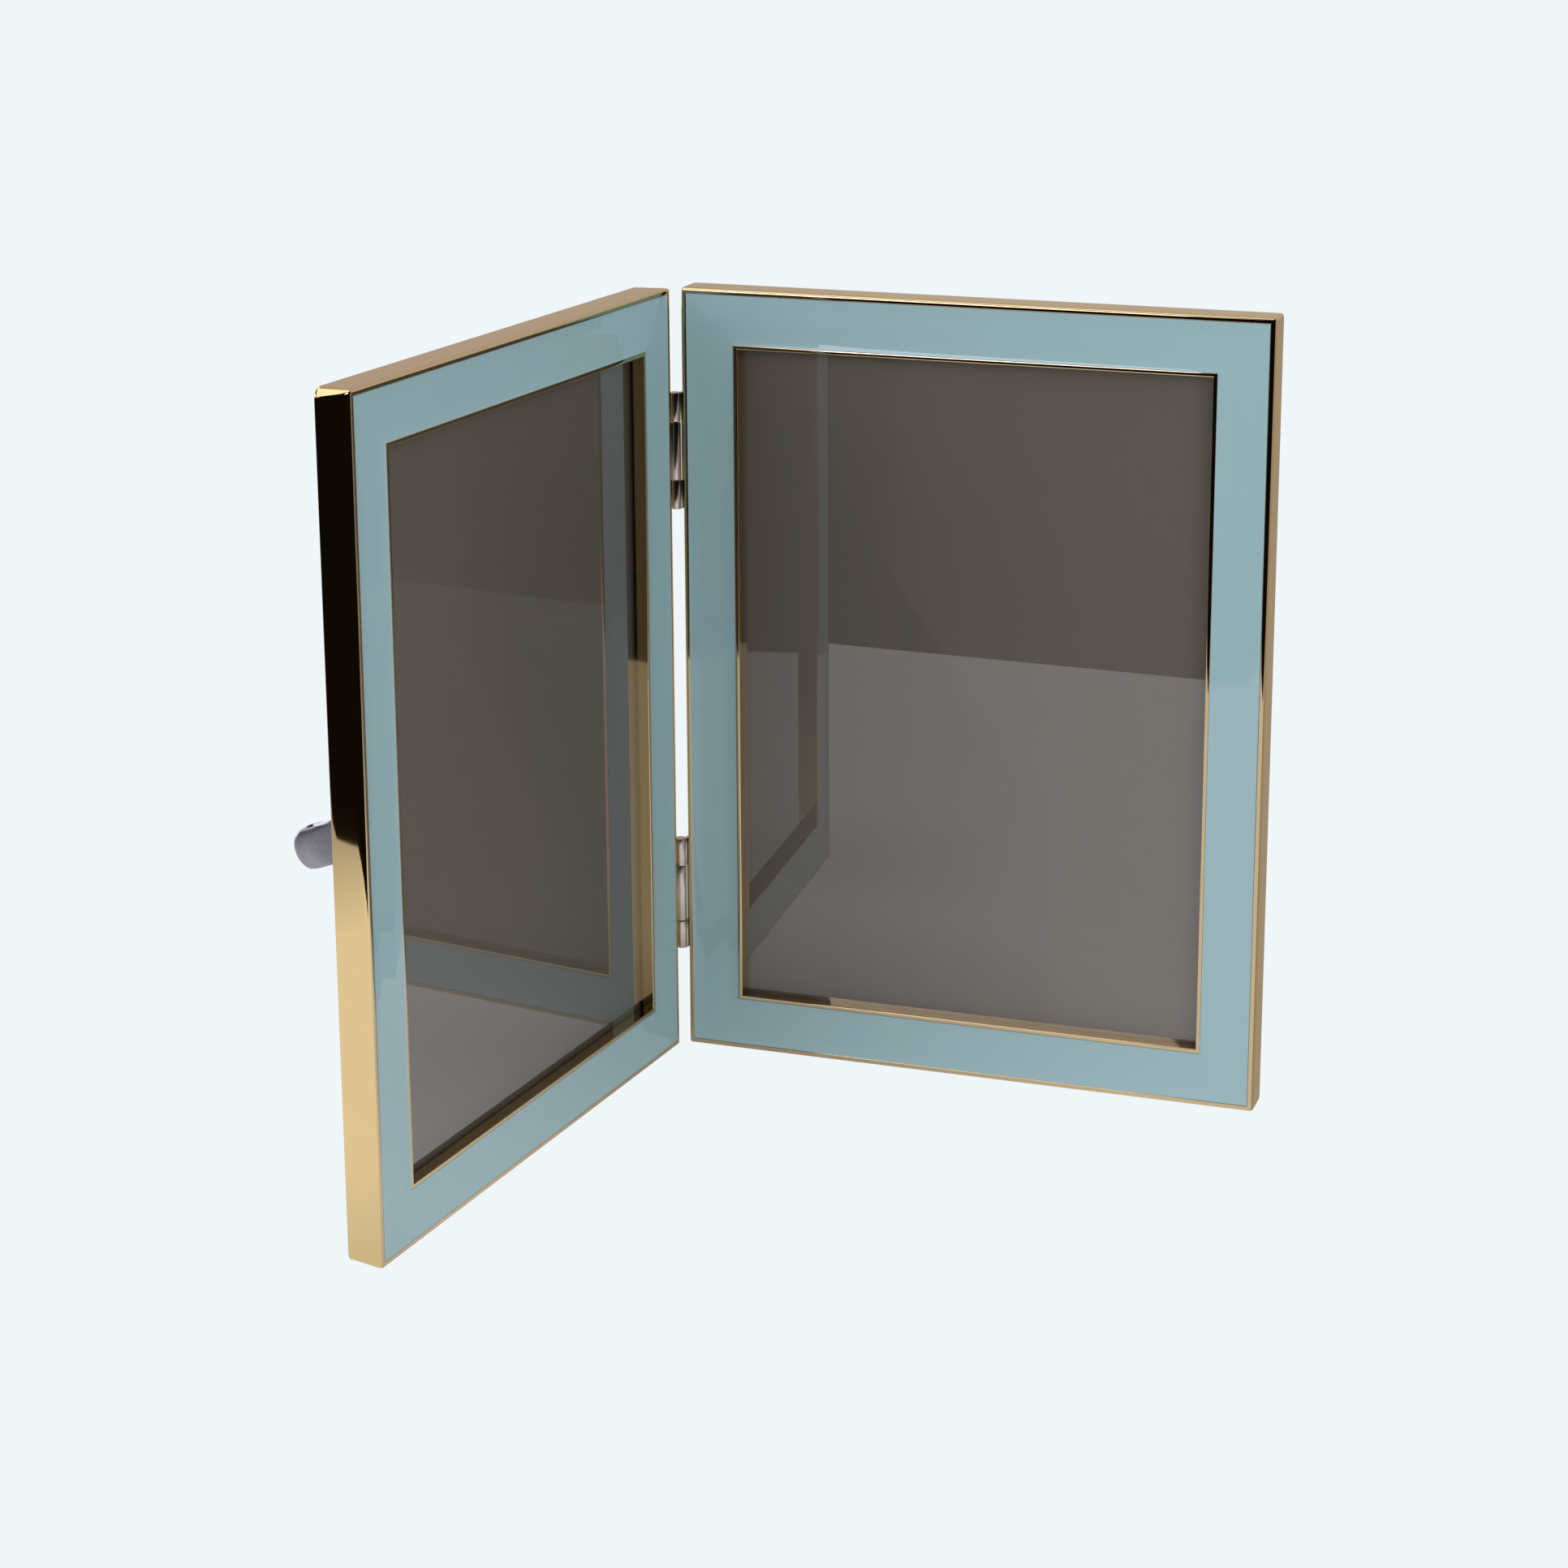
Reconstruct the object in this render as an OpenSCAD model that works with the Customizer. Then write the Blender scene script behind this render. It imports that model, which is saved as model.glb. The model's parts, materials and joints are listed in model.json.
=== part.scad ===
// Double photo frame: two enamelled metal leaves on two butt hinges, standing open in a V.
// Each leaf is built lying in its own frame: X runs from the hinge to the outer edge,
// Y from the front rim to the rear, Z up. The right leaf is turned into place and the left
// one is its mirror image.

/* [Leaf] */
// Width of one leaf over its side faces
leaf_w = 151.5; // [120:0.5:200]
// Height of one leaf
leaf_h = 201.5; // [150:0.5:260]
// Depth of the casting from the front rim to the rear edge
leaf_d = 8.9; // [8.5:0.1:14]
// Radius of the outline's four corners
corner_r = 1.5; // [1.5:0.1:4]
// Thickness of the casting's outer wall
wall_t = 1.5; // [1.2:0.1:1.5]
// Thickness of the front plate at the window
front_t = 3; // [2.4:0.1:4]
// Angle between the two leaves as they stand
open_angle = 95; // [40:1:170]

/* [Border] */
// Width of the raised outer rim
outer_rim_w = 1.5; // [1.2:0.1:1.5]
// Radius of the outer rim's outer edge
outer_edge_r = 0.7; // [0.4:0.1:0.9]
// Radius of the small edges of both rims
small_edge_r = 0.35; // [0.2:0.05:0.4]
// Width of the enamel band between the rims
enamel_w = 12.4; // [9:0.1:16]
// Depth of the channel that holds the enamel
channel_d = 1.2; // [0.8:0.1:1.6]
// How far the enamel lies below the rims
enamel_drop = 0.3; // [0.1:0.05:0.4]
// Width of the raised inner rim
inner_rim_w = 1.1; // [0.9:0.1:2]

/* [Picture] */
// How much of the print the window's sides cover
side_lap = 2.75; // [2:0.25:4]
// How much of the print the window's top and bottom cover
end_lap = 3.25; // [2:0.25:4]
// Clearance round the print and the glass
print_gap = 0.3; // [0.2:0.1:0.6]
// Radius of the corners of the glass and of what lies behind it
pane_r = 0.5; // [0.2:0.1:2]
// Thickness of the glass
glass_t = 2; // [1.5:0.1:2.5]
// Thickness of the print card
card_t = 0.4; // [0.2:0.1:0.8]
// Thickness of the filler board
filler_t = 1; // [0.6:0.1:1.2]
// Thickness of the rib round the glass and of the webs
rib_t = 1.2; // [0.8:0.1:2]

/* [Back] */
// Radius of the back board's corners
board_r = 1.5; // [0.5:0.1:4]
// Clearance between the covered back and the casting's wall
back_gap = 0.3; // [0.2:0.05:0.6]
// Thickness of the velvet over the back
velvet_t = 0.5; // [0.3:0.05:0.6]
// Thickness of the velvet turned over the edges
velvet_edge_t = 0.4; // [0.3:0.05:0.6]
// How far the velvet lies below the casting's rear edge
back_drop = 0.3; // [0.1:0.1:0.5]
// Width of the pull ribbon
ribbon_w = 9.5; // [8:0.5:16]
// Thickness of the ribbon's cloth
ribbon_t = 0.35; // [0.25:0.05:0.45]
// How far the ribbon's loop stands out behind the casting
ribbon_reach = 12; // [6:0.1:16]
// How far the loop's end leans in towards the hinge
ribbon_lean = 2; // [0:0.1:4]
// Angle by which the ribbon hangs down
ribbon_droop = 21; // [0:1:30]
// Radius of the bend at the loop's end
ribbon_bend_r = 1.5; // [1:0.1:2]
// Radius of the loop's corners
ribbon_corner_r = 3.5; // [1:0.5:4]
// Length of the ribbon glued to the board's inner face
ribbon_tail = 5; // [3:0.5:6]

/* [Hinges] */
// Distance from the hinge axis to each leaf's side face
side_gap = 1.7; // [1.6:0.05:2.2]
// Gap between the two fronts when the leaves are shut
shut_gap = 0.3; // [0.2:0.1:1]
// Distance from each hinge's centre to the nearer end of the leaf
hinge_inset = 41.75; // [30:0.25:60]
// Length of a hinge
hinge_l = 30; // [24:0.5:40]
// Radius of the barrel
knuckle_r = 1.4; // [1.3:0.05:1.5]
// Radius of the hinge pin
pin_r = 0.75; // [0.6:0.05:0.8]
// Radial clearance between the pin and its knuckles
pin_fit = 0.04; // [0.02:0.01:0.1]
// Gap between neighbouring knuckles
knuckle_gap = 0.25; // [0.15:0.05:0.4]
// Thickness of a hinge plate
plate_t = 0.8; // [0.7:0.05:0.9]
// Distance from the leaf's front to the hinge plate's rear edge
plate_d = 7.4; // [6.8:0.1:8]
// Clearance of a plate's cut-back beside the other plate's knuckle
notch_gap = 0.3; // [0.2:0.05:0.5]

/* [Screws] */
// Distance of each screw from the hinge's centre
screw_pitch = 10; // [8:0.5:12]
// Distance of the screws behind the leaf's front
screw_y = 4.6; // [4.2:0.1:5]
// Radius of a screw's shank
screw_r = 0.7; // [0.5:0.05:0.8]
// Radius of a screw's head
screw_head_r = 1.3; // [1.1:0.05:1.5]
// Length of a screw under the hinge plate
screw_l = 3.6; // [3:0.1:4.5]
// Radial clearance of a screw in its holes
screw_fit = 0.03; // [0.02:0.01:0.1]
// Width of a screw's slot
slot_w = 0.35; // [0.25:0.05:0.5]

/* [Hidden] */
$fn = 48;

// One overrun for every cut
cut = 1;

// The border from the outer face to the window
border_w = outer_rim_w + enamel_w + inner_rim_w;
window_w = leaf_w - 2 * border_w;
window_h = leaf_h - 2 * border_w;
print_w = window_w + 2 * side_lap;
print_h = window_h + 2 * end_lap;

// Depths of the layers behind the front plate
card_y = front_t + glass_t;
filler_y = card_y + card_t;
board_y = filler_y + filler_t;
velvet_y = leaf_d - back_drop - velvet_t;

// The pocket for the glass, and the space that the covered back fills
pocket_w = print_w + 2 * print_gap;
pocket_h = print_h + 2 * print_gap;
well_w = leaf_w - 2 * wall_t;
well_h = leaf_h - 2 * wall_t;
cover_w = well_w - 2 * back_gap;
cover_h = well_h - 2 * back_gap;
board_w = cover_w - 2 * velvet_edge_t;
board_h = cover_h - 2 * velvet_edge_t;

// Webs that stiffen the hollow behind the enamel
web_inset_share = 0.3;

// The ribbon lies against the casting's outer wall, in a notch in the covered back
ribbon_x = leaf_w - wall_t - back_gap;
ribbon_fold = 2 * ribbon_t;
ribbon_mid_x = ribbon_x - ribbon_t;
ribbon_root_y = board_y - ribbon_fold;
ribbon_end_y = leaf_d + ribbon_reach;
ribbon_end_r = min(ribbon_corner_r, ribbon_w / 2 - ribbon_t);

// Half the ribbon's height where it passes through the notch at a slant, and how far its
// middle drops on the way
ribbon_half_h = ribbon_w / 2 / cos(ribbon_droop);
ribbon_drop = (leaf_d - board_y) * tan(ribbon_droop);

// The ribbon's depths before it is turned: its layers part behind the casting
ribbon_start_y = ribbon_root_y - ribbon_fold - ribbon_half_h * sin(ribbon_droop);
ribbon_neck_y = board_y + ribbon_half_h * sin(ribbon_droop)
    + (leaf_d - board_y) / cos(ribbon_droop);

// Hinge places: the axis is half the shut gap in front of the rims
axis_y = -shut_gap / 2;
knuckle_l = hinge_l / 4;
boss_r = 2 * screw_head_r;
boss_l = screw_l - wall_t / 2;
bore_l = screw_l + wall_t / 4;

// Turn and place of the right leaf. The hinge axis lies behind the origin, so that the
// origin is under the middle of the standing frame.
leaf_turn = -(90 - open_angle / 2);
leaf_end = side_gap + leaf_w;
front_reach = leaf_end * sin(-leaf_turn) - axis_y * cos(leaf_turn);
rear_reach = side_gap * sin(leaf_turn) + (leaf_d - axis_y) * cos(leaf_turn);
axis_back = (front_reach - rear_reach) / 2;

// Colours of the finishes
gold = [0.83, 0.66, 0.36];
enamel_blue = [0.62, 0.73, 0.76];
glass_tint = [0.8, 0.86, 0.88, 0.35];
card_grey = [0.35, 0.33, 0.31];
board_grey = [0.62, 0.6, 0.56];
fibre_brown = [0.5, 0.4, 0.29];
velvet_grey = [0.36, 0.36, 0.38];
ribbon_grey = [0.6, 0.6, 0.64];
nickel = [0.72, 0.7, 0.68];

// Places a leaf's own frame on the hinge axis
module place_right() {
    translate([0, axis_back, 0]) rotate([0, 0, leaf_turn]) translate([side_gap, -axis_y, 0]) children();
}

// The left leaf is the right one's mirror image
module place_left() {
    mirror([1, 0, 0]) place_right() children();
}

// Stands a plan drawn in width and height up in the leaf's frame, from depth y0 to y1
module layer(y0, y1) {
    translate([0, y1, 0]) rotate([90, 0, 0]) linear_extrude(height = y1 - y0) children();
}

// A rectangle with round corners, w by h, about the leaf's middle
module plate_plan(w, h, r) {
    translate([leaf_w / 2, leaf_h / 2]) union() {
        square([w - 2 * r, h], center = true);
        square([w, h - 2 * r], center = true);
        for (sx = [-1, 1], sy = [-1, 1])
            translate([sx * (w / 2 - r), sy * (h / 2 - r)]) circle(r = r);
    }
}

// A rectangle with sharp corners, w by h, about the leaf's middle
module opening_plan(w, h) {
    translate([leaf_w / 2, leaf_h / 2]) square([w, h], center = true);
}

// A flat ring between an outer rectangle and an inner one
module ring_plan(w, h, r, inner_w, inner_h, inner_r) {
    difference() {
        plate_plan(w, h, r);
        plate_plan(inner_w, inner_h, inner_r);
    }
}

// Sweeps a cross-section round a w by h rectangle whose corners have radius r. In the
// cross-section X is the distance from the corner's centre and Y is minus the leaf's depth.
module swept(w, h, r) {
    straight_w = w - 2 * r;
    straight_h = h - 2 * r;
    translate([leaf_w / 2, 0, leaf_h / 2]) rotate([90, 0, 0]) for (turn = [0, 1, 2, 3]) {
        run = turn % 2 == 0 ? straight_h : straight_w;
        side = turn % 2 == 0 ? straight_w : straight_h;
        rotate([0, 0, 90 * turn]) {
            translate([side / 2, run / 2, 0]) rotate([90, 0, 0])
                linear_extrude(height = run) children();
            translate([side / 2, run / 2, 0]) rotate_extrude(angle = 90) children();
        }
    }
}

// A block from x0 to x1 and from depth y0 to y1 whose front edges have radii r0 and r1
module rim_section(x0, x1, y0, y1, r0, r1) {
    translate([0, -y1]) difference() {
        translate([x0, 0]) square([x1 - x0, y1 - y0]);
        translate([x0, y1 - y0 - r0]) difference() {
            translate([-cut, 0]) square([r0 + cut, r0 + cut]);
            translate([r0, 0]) circle(r = r0);
        }
        translate([x1 - r1, y1 - y0 - r1]) difference() {
            square([r1 + cut, r1 + cut]);
            circle(r = r1);
        }
    }
}

// The outer wall and its raised rim, round the whole leaf. The channel's corners are sharp
// where the corner's radius is the rim's width.
module outer_wall() {
    swept(leaf_w, leaf_h, corner_r) union() {
        rim_section(corner_r - outer_rim_w, corner_r, 0, channel_d, small_edge_r, outer_edge_r);
        translate([corner_r - wall_t, -leaf_d]) square([wall_t, leaf_d - channel_d]);
    }
}

// Four bars with mitred ends round a w by h opening, from a cross-section whose X runs
// outwards from the opening's edge and whose Y is minus the leaf's depth
module mitred(w, h, bar_w) {
    translate([leaf_w / 2, 0, leaf_h / 2]) rotate([90, 0, 0]) for (turn = [0, 1, 2, 3]) {
        run = turn % 2 == 0 ? h : w;
        side = turn % 2 == 0 ? w : h;
        rotate([0, 0, 90 * turn]) intersection() {
            translate([side / 2, run / 2 + bar_w, 0]) rotate([90, 0, 0])
                linear_extrude(height = run + 2 * bar_w) children();
            translate([0, 0, -front_t]) linear_extrude(height = 2 * front_t) polygon([
                [side / 2, -run / 2],
                [side / 2 + bar_w, -run / 2 - bar_w],
                [side / 2 + bar_w, run / 2 + bar_w],
                [side / 2, run / 2]
            ]);
        }
    }
}

// The inner rim round the window
module inner_rim() {
    mitred(window_w, window_h, inner_rim_w)
        rim_section(0, inner_rim_w, 0, channel_d, small_edge_r, small_edge_r);
}

// Webs from the rib to the wall, two on each of the four sides
module webs() {
    side_w = (well_w - pocket_w) / 2 - rib_t;
    side_h = (well_h - pocket_h) / 2 - rib_t;
    for (share = [web_inset_share, 1 - web_inset_share]) {
        for (x = [wall_t, leaf_w - wall_t - side_w])
            translate([x, leaf_h * share - rib_t / 2]) square([side_w, rib_t]);
        for (z = [wall_t, leaf_h - wall_t - side_h])
            translate([leaf_w * share - rib_t / 2, z]) square([rib_t, side_h]);
    }
}

// Heights of the hinges' centres, and of their screws
hinge_z = [leaf_h - hinge_inset, hinge_inset];
screw_z = [for (z = hinge_z, s = [-1, 1]) z + s * screw_pitch];

// A cylinder that lies along X from x0 to x1 at depth y and height z
module along_x(x0, x1, y, z, r) {
    translate([x0, y, z]) rotate([0, 90, 0]) cylinder(h = x1 - x0, r = r);
}

// Cast frame: front plate with rims and channel, outer wall, rib round the glass and bosses
module casting() {
    color(gold) difference() {
        union() {
            outer_wall();
            inner_rim();
            layer(channel_d, front_t) difference() {
                plate_plan(leaf_w - wall_t, leaf_h - wall_t, corner_r - wall_t / 2);
                opening_plan(window_w, window_h);
            }
            layer(front_t, board_y) union() {
                difference() {
                    plate_plan(pocket_w + 2 * rib_t, pocket_h + 2 * rib_t, rib_t);
                    opening_plan(pocket_w, pocket_h);
                }
                webs();
            }
            for (z = screw_z)
                translate([wall_t, front_t, z - boss_r / 2])
                    cube([boss_l, board_y - front_t, boss_r]);
        }
        for (z = screw_z) along_x(-cut, bore_l, screw_y, z, screw_r + screw_fit);
    }
}

// Enamel band, fired into the channel
module enamel() {
    color(enamel_blue) layer(enamel_drop, channel_d) difference() {
        opening_plan(leaf_w - 2 * outer_rim_w, leaf_h - 2 * outer_rim_w);
        opening_plan(window_w + 2 * inner_rim_w, window_h + 2 * inner_rim_w);
    }
}

// Glass pane behind the window
module glass() {
    color(glass_tint) layer(front_t, card_y) plate_plan(print_w, print_h, pane_r);
}

// Print card that stands in for the photograph
module print_card() {
    color(card_grey) layer(card_y, filler_y) plate_plan(print_w, print_h, pane_r);
}

// Filler board that presses the print against the glass
module filler_board() {
    color(board_grey) layer(filler_y, board_y) plate_plan(print_w, print_h, pane_r);
}

// Notch in the covered back's outer edge, from x0 outwards, where the ribbon passes
module ribbon_notch() {
    x0 = ribbon_x - ribbon_fold;
    low = ribbon_half_h + ribbon_drop + back_gap;
    translate([x0, board_y - cut, leaf_h / 2 - low])
        cube([leaf_w - x0, leaf_d - board_y + 2 * cut, low + ribbon_half_h + back_gap]);
}

// Back board that lifts out of the rear
module back_board() {
    color(fibre_brown) difference() {
        layer(board_y, velvet_y) plate_plan(board_w, board_h, board_r);
        ribbon_notch();
    }
}

// Velvet glued over the board's rear face and edges
module velvet_cover() {
    color(velvet_grey) difference() {
        union() {
            layer(velvet_y, velvet_y + velvet_t)
                plate_plan(cover_w, cover_h, board_r + velvet_edge_t);
            layer(board_y, velvet_y)
                ring_plan(cover_w, cover_h, board_r + velvet_edge_t, board_w, board_h, board_r);
        }
        ribbon_notch();
    }
}

// Points of an arc about c with radius r, from angle a0 to a1
function arc(c, r, a0, a1, steps) = [
    for (i = [0:steps]) let (a = a0 + (a1 - a0) * i / steps) [c[0] + r * cos(a), c[1] + r * sin(a)]
];

// Outline of a drop: a neck from x0 to x1 at depth y0, and a round end of radius r
loop_steps = 16;
module drop(x0, x1, y0, r) {
    polygon(concat(
        [[x0, y0], [x1, y0]],
        arc([ribbon_mid_x - ribbon_lean, ribbon_end_y - ribbon_bend_r], r, 0, 180, loop_steps)
    ));
}

// Outline of the ribbon's face: its loop has round corners
module ribbon_face() {
    straight_y = ribbon_end_y - ribbon_end_r;
    side = ribbon_w / 2 - ribbon_end_r;
    translate([ribbon_start_y, -ribbon_w / 2]) square([straight_y - ribbon_start_y, ribbon_w]);
    translate([ribbon_start_y, -side]) square([ribbon_end_y - ribbon_start_y, 2 * side]);
    for (z = [-side, side])
        translate([straight_y, z]) circle(r = ribbon_end_r);
}

// The doubled neck and the loop, before they are turned to hang down
module ribbon_loop() {
    part_y = ribbon_neck_y + ribbon_fold;
    intersection() {
        translate([0, 0, -ribbon_w / 2]) linear_extrude(height = ribbon_w) union() {
            difference() {
                drop(ribbon_x - ribbon_fold, ribbon_x, ribbon_neck_y, ribbon_bend_r);
                drop(ribbon_mid_x, ribbon_mid_x, part_y, ribbon_bend_r - ribbon_t);
            }
            translate([ribbon_x - ribbon_fold, ribbon_start_y])
                square([ribbon_fold, part_y - ribbon_start_y]);
        }
        translate([ribbon_x - ribbon_reach, 0, 0]) rotate([90, 0, 90])
            linear_extrude(height = 2 * ribbon_reach) ribbon_face();
    }
}

// Pull ribbon: a loop that hangs down behind the frame, and a tail glued to the board's
// inner face
module pull_ribbon() {
    color(ribbon_grey) translate([0, 0, leaf_h / 2]) union() {
        intersection() {
            translate([0, board_y, 0]) rotate([-ribbon_droop, 0, 0]) translate([0, -board_y, 0])
                ribbon_loop();
            translate([0, ribbon_root_y, -leaf_h / 2]) cube([leaf_w, leaf_d + ribbon_reach, leaf_h]);
        }
        translate([ribbon_x - ribbon_fold - ribbon_tail, ribbon_root_y, -ribbon_w / 2])
            cube([ribbon_tail + ribbon_t, ribbon_fold, ribbon_w]);
    }
}

// Countersunk screw: head flush with the hinge plate, shank in the boss
module screw(z) {
    head_h = screw_head_r - screw_r;
    head_x = -plate_t;
    difference() {
        translate([head_x, screw_y, z]) rotate([0, 90, 0]) union() {
            cylinder(h = head_h, r1 = screw_head_r, r2 = screw_r);
            cylinder(h = plate_t + screw_l, r = screw_r);
        }
        translate([head_x - cut, screw_y - slot_w / 2, z - screw_head_r])
            cube([cut + head_h / 2, slot_w, 2 * screw_head_r]);
    }
}

// The four screws of one leaf
module hinge_screws() {
    color(nickel) for (z = screw_z) screw(z);
}

// Spans of the knuckles that a plate carries, measured from the hinge's lower end
outer_spans = [[0, knuckle_l - knuckle_gap / 2], [hinge_l - knuckle_l + knuckle_gap / 2, hinge_l]];
centre_spans = [[knuckle_l + knuckle_gap / 2, hinge_l - knuckle_l - knuckle_gap / 2]];

// Hinge plate in the leaf's frame: a flat plate on the side face and its knuckles. The plate
// is cut back beside the other plate's knuckles.
module hinge_plate(z, own, others) {
    low = z - hinge_l / 2;
    notch_y = axis_y - knuckle_r - cut;
    notch_d = 2 * knuckle_r + notch_gap + cut;
    head_h = screw_head_r - screw_r;
    color(nickel) difference() {
        union() {
            translate([-plate_t, axis_y, low]) cube([plate_t, plate_d - axis_y, hinge_l]);
            for (s = own) translate([-side_gap, axis_y, low + s[0]])
                cylinder(h = s[1] - s[0], r = knuckle_r);
        }
        for (s = others)
            translate([-side_gap - knuckle_r, notch_y, low + s[0] - knuckle_gap])
                cube([side_gap + knuckle_r + cut, notch_d, s[1] - s[0] + 2 * knuckle_gap]);
        translate([-side_gap, axis_y, low - cut])
            cylinder(h = hinge_l + 2 * cut, r = pin_r + pin_fit);
        for (s = [-1, 1]) {
            along_x(-plate_t - cut, cut, screw_y, z + s * screw_pitch, screw_r + screw_fit);
            translate([-plate_t, screw_y, z + s * screw_pitch]) rotate([0, 90, 0])
                cylinder(h = head_h, r1 = screw_head_r + screw_fit, r2 = screw_r + screw_fit);
        }
    }
}

// Hinge pin, as long as the barrel
module hinge_pin(z) {
    color(nickel) translate([0, axis_back, z - hinge_l / 2]) cylinder(h = hinge_l, r = pin_r);
}

place_right() casting();  // right_casting
place_right() enamel();  // right_enamel
place_right() glass();  // right_glass
place_right() print_card();  // right_print_card
place_right() filler_board();  // right_filler_board
place_right() back_board();  // right_back_board
place_right() velvet_cover();  // right_velvet_cover
place_right() pull_ribbon();  // right_pull_ribbon
place_right() hinge_screws();  // right_hinge_screws
place_right() hinge_plate(hinge_z[0], outer_spans, centre_spans);  // upper_hinge_right_plate
place_right() hinge_plate(hinge_z[1], outer_spans, centre_spans);  // lower_hinge_right_plate
hinge_pin(hinge_z[0]);  // upper_hinge_pin
hinge_pin(hinge_z[1]);  // lower_hinge_pin
place_left() casting();  // left_casting
place_left() enamel();  // left_enamel
place_left() glass();  // left_glass
place_left() print_card();  // left_print_card
place_left() filler_board();  // left_filler_board
place_left() back_board();  // left_back_board
place_left() velvet_cover();  // left_velvet_cover
place_left() pull_ribbon();  // left_pull_ribbon
place_left() hinge_screws();  // left_hinge_screws
place_left() hinge_plate(hinge_z[0], centre_spans, outer_spans);  // upper_hinge_left_plate
place_left() hinge_plate(hinge_z[1], centre_spans, outer_spans);  // lower_hinge_left_plate
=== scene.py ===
import json
import math

import bmesh
import bpy
from mathutils import Matrix, Vector

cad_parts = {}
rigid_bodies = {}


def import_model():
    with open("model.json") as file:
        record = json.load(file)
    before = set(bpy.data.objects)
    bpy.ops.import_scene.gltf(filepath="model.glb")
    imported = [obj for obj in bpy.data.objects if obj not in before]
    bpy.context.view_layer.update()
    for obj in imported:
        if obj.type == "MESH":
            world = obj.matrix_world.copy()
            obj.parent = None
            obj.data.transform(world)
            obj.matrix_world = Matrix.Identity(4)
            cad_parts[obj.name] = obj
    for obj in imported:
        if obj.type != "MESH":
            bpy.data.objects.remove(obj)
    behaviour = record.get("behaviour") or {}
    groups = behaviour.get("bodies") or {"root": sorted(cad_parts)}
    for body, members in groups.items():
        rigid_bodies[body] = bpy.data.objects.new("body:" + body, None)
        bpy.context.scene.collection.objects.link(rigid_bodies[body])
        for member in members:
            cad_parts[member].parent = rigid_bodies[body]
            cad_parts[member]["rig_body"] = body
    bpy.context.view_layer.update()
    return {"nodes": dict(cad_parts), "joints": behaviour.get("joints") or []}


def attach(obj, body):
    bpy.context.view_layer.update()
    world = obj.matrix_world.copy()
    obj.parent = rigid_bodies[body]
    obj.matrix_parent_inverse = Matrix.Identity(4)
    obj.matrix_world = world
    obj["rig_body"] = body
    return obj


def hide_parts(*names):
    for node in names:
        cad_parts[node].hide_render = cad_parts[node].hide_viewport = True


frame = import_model()

# ---- Camera -----------------------------------------------------------------------------
# The photograph was taken from the front left, a little above the frame's top edge, with a
# long lens. Its place was fitted to the corners of both leaves.
MM = 0.001
hinge_axis = Vector(frame["joints"][0]["pos_m"][:2]).to_3d()
camera_place = hinge_axis + Vector((-306.8, -800.84, 335.7)) * MM
camera_heading = 66.07
camera_tilt = -14.562
camera_roll = -0.018

camera = bpy.data.objects.new("camera", bpy.data.cameras.new("camera"))
bpy.context.scene.collection.objects.link(camera)
bpy.context.scene.camera = camera
camera.data.sensor_width = 36
camera.data.lens = 79.11
camera.data.shift_x = -0.0427
camera.data.shift_y = -0.0994
camera.data.clip_start = 0.01
# An unturned camera looks straight down, with the top of its picture towards Y.
camera.matrix_world = (
    Matrix.Translation(camera_place)
    @ Matrix.Rotation(math.radians(camera_heading - 90), 4, "Z")
    @ Matrix.Rotation(math.radians(90 + camera_tilt), 4, "X")
    @ Matrix.Rotation(math.radians(camera_roll), 4, "Z")
)

# ---- Gilt castings ----------------------------------------------------------------------
# Each leaf is one zinc casting, polished and gold plated: a channel for the enamel between two
# raised rims, a deep wall behind, and a rib that holds the glass. It is modelled lying, X from
# the hinge to the outer edge, Y from the front to the rear, Z up, and then stood in its place.
leaf_w = 151.5 * MM
leaf_h = 201.5 * MM
leaf_d = 8.9 * MM
leaf_middle = Vector((leaf_w / 2, 0, leaf_h / 2))
open_angle = math.radians(95)
side_gap = 1.7 * MM
shut_gap = 0.3 * MM
outer_rim_w = 1.5 * MM
enamel_w = 12.4 * MM
inner_rim_w = 1.1 * MM
channel_end = outer_rim_w + enamel_w
border_w = channel_end + inner_rim_w
channel_d = 1.2 * MM
front_t = 3 * MM
wall_t = 1.5 * MM
side_lap = 2.75 * MM
end_lap = 3.25 * MM
print_gap = 0.3 * MM
rib_t = 1.2 * MM
board_y = 6.4 * MM
outer_edge_r = 0.45 * MM
outer_edge_inset = 0.12 * MM
small_edge_r = 0.16 * MM
rear_edge_r = 0.2 * MM
rear_edge_inset = 0.035 * MM
outer_rim_crown_r = 4 * MM
inner_rim_crown_r = 2.6 * MM
front_corner_r = 0.7 * MM
rear_corner_r = {"right": 0.9 * MM, "left": 2.9 * MM}
inner_corner_r = 1 * MM
sharp_r = 0.02 * MM
# The side faces are faintly crowned: insets at depths behind the front, both in millimetres.
side_crown = [
    (0.045, 0.9), (0.01, 1.5), (0, 2.1), (0, 4.8), (0, 7.4), (0.012, 8.1), (0.026, 8.5)
]
rim_steps = 5
corner_steps = 6
edge_steps = 4
casting_crease = math.radians(32)
flat_face_weight = 90

gold_tints = (0.80, 0.60, 0.30, 1), (0.76, 0.585, 0.315, 1)
# Painted shade: a darker gold on the rims' front faces, up to the depths below, stands in for
# the dimmer reflections they show.
front_shade_tints = (0.58, 0.46, 0.27, 1), (0.55, 0.44, 0.28, 1)
front_shade_ends = 0.06 * MM, 0.2 * MM


def edit_alone(piece):
    """Opens a piece for editing, with nothing else selected."""
    bpy.ops.object.select_all(action="DESELECT")
    bpy.context.view_layer.objects.active = piece
    piece.select_set(True)
    bpy.ops.object.mode_set(mode="EDIT")


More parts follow.
